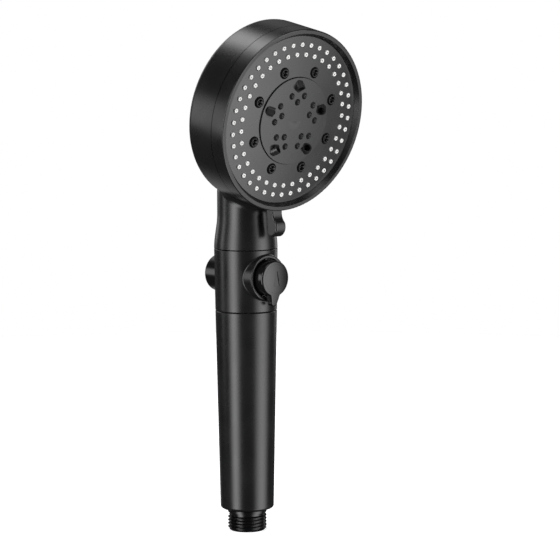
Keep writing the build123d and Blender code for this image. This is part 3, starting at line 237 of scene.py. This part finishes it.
def add_button_spring():
    """A stainless steel copy of the pause button's spring, attached to the handset's body in place of the
    CAD spring.
    """
    solid = frame["nodes"]["pause_spring"]
    spring = bpy.data.objects.new("button_spring", solid.data.copy())
    spring.matrix_world = solid.matrix_world
    bpy.context.scene.collection.objects.link(spring)
    spring.data.materials.clear()
    spring.data.materials.append(materials["stainless_steel"])
    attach(spring, "handset")
    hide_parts("pause_spring")
    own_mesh(spring)


# ---------------------------------------------------------------- studio

WHITE = (1, 1, 1, 1)
FLOOR_RADIUS = 0.8
FLOOR_CORNERS = 96
FLOOR_COLOR = (0.9, 0.9, 0.9)
FLOOR_ROUGHNESS = 0.9
FLOOR_GLOW = 0.75
ROOM_GREY = 0.04
LIGHT_AIM = UP * 0.15


def fade(tree, place, edge):
    """Rise from 0 at the sides of a light to 1, over edge of its width at each side."""
    distance = tree.nodes.new("ShaderNodeMath")
    distance.operation = "PINGPONG"
    distance.inputs[1].default_value = 0.5
    tree.links.new(place, distance.inputs[0])
    rise = tree.nodes.new("ShaderNodeMapRange")
    rise.interpolation_type = "SMOOTHSTEP"
    rise.inputs["From Max"].default_value = edge
    tree.links.new(distance.outputs[0], rise.inputs["Value"])
    return rise.outputs["Result"]


def feather(light, across, along):
    """Fade a light towards its sides and its ends, like a diffuser lit from its middle."""
    light.use_nodes = True
    tree = light.node_tree
    geometry = tree.nodes.new("ShaderNodeNewGeometry")
    place = tree.nodes.new("ShaderNodeSeparateXYZ")
    tree.links.new(geometry.outputs["Parametric"], place.inputs[0])
    both = tree.nodes.new("ShaderNodeMath")
    both.operation = "MULTIPLY"
    tree.links.new(fade(tree, place.outputs["X"], across), both.inputs[0])
    tree.links.new(fade(tree, place.outputs["Y"], along), both.inputs[1])
    tree.links.new(both.outputs[0], tree.nodes["Emission"].inputs["Strength"])


def softbox(name, bearing, elevation, distance, width, height, brightness, across=0.5, along=0.2):
    """A feathered area light that faces the handset.

    Its bearing is counted from the camera to the right. Both angles are in degrees.
    """
    level = towards_camera * cos(radians(bearing)) + camera_right * sin(radians(bearing))
    direction = level * cos(radians(elevation)) + UP * sin(radians(elevation))
    light = bpy.data.lights.new(name, "AREA")
    light.shape = "RECTANGLE"
    light.size = width
    light.size_y = height
    light.energy = brightness * pi * width * height
    feather(light, across, along)
    box = bpy.data.objects.new(name, light)
    box.matrix_world = look_from(direction, UP.cross(level), LIGHT_AIM + direction * distance)
    box.visible_camera = False
    bpy.context.scene.collection.objects.link(box)


def add_lights():
    """Two large panels draw the bright bands down the grip, and the rest light the head's edge and back."""
    softbox("left_strip", -47, 0, 1.2, width=1.15, height=1.8, brightness=5.6)
    softbox("right_panel", 64, -8, 1.2, width=1.75, height=2.4, brightness=4.0)
    softbox("left_side", -95, 4, 1.3, width=0.5, height=0.8, brightness=2.7, along=0.3)
    softbox("crown", -142, 57, 1.3, width=0.75, height=0.6, brightness=4.9)
    softbox("top_panel", 10, 80, 1.4, width=1.2, height=1.2, brightness=3.0)
    softbox("rear_left", -140, 18, 1.3, width=0.8, height=1.2, brightness=1.4)
    softbox("rear_right", 145, 15, 1.3, width=0.8, height=1.4, brightness=1.4)
    softbox("rear_high", -160, 30, 1.4, width=1.6, height=0.8, brightness=0.6)
    softbox("rear_low", -162, -28, 1.3, width=1.2, height=0.8, brightness=0.35)


def add_floor():
    """A round pale floor, which the glossy black plastic doesn't mirror."""
    bpy.ops.mesh.primitive_circle_add(vertices=FLOOR_CORNERS, radius=FLOOR_RADIUS, fill_type="NGON")
    floor = bpy.context.object
    floor.name = "studio_floor"
    material, shader, _ = new_material("studio_floor", FLOOR_COLOR, FLOOR_ROUGHNESS)
    shader.inputs["Emission Color"].default_value = WHITE
    shader.inputs["Emission Strength"].default_value = FLOOR_GLOW
    floor.data.materials.append(material)
    floor.visible_glossy = False
    floor.visible_diffuse = False
    floor.visible_shadow = False


def add_world():
    """White to the camera, and a dim grey room for everything the object reflects."""
    world = bpy.data.worlds.new("studio")
    world.use_nodes = True
    tree = world.node_tree
    room = tree.nodes["Background"]
    room.inputs["Color"].default_value = (ROOM_GREY, ROOM_GREY, ROOM_GREY, 1)
    backdrop = tree.nodes.new("ShaderNodeBackground")
    backdrop.inputs["Color"].default_value = WHITE
    path = tree.nodes.new("ShaderNodeLightPath")
    choose = tree.nodes.new("ShaderNodeMixShader")
    tree.links.new(path.outputs["Is Camera Ray"], choose.inputs["Fac"])
    tree.links.new(room.outputs[0], choose.inputs[1])
    tree.links.new(backdrop.outputs[0], choose.inputs[2])
    tree.links.new(choose.outputs[0], tree.nodes["World Output"].inputs["Surface"])
    bpy.context.scene.world = world
    bpy.context.scene.view_settings.view_transform = "Standard"


# ---------------------------------------------------------------- scene

add_camera()
paint_cad_nodes()
add_button_spring()
add_floor()
add_world()
add_lights()
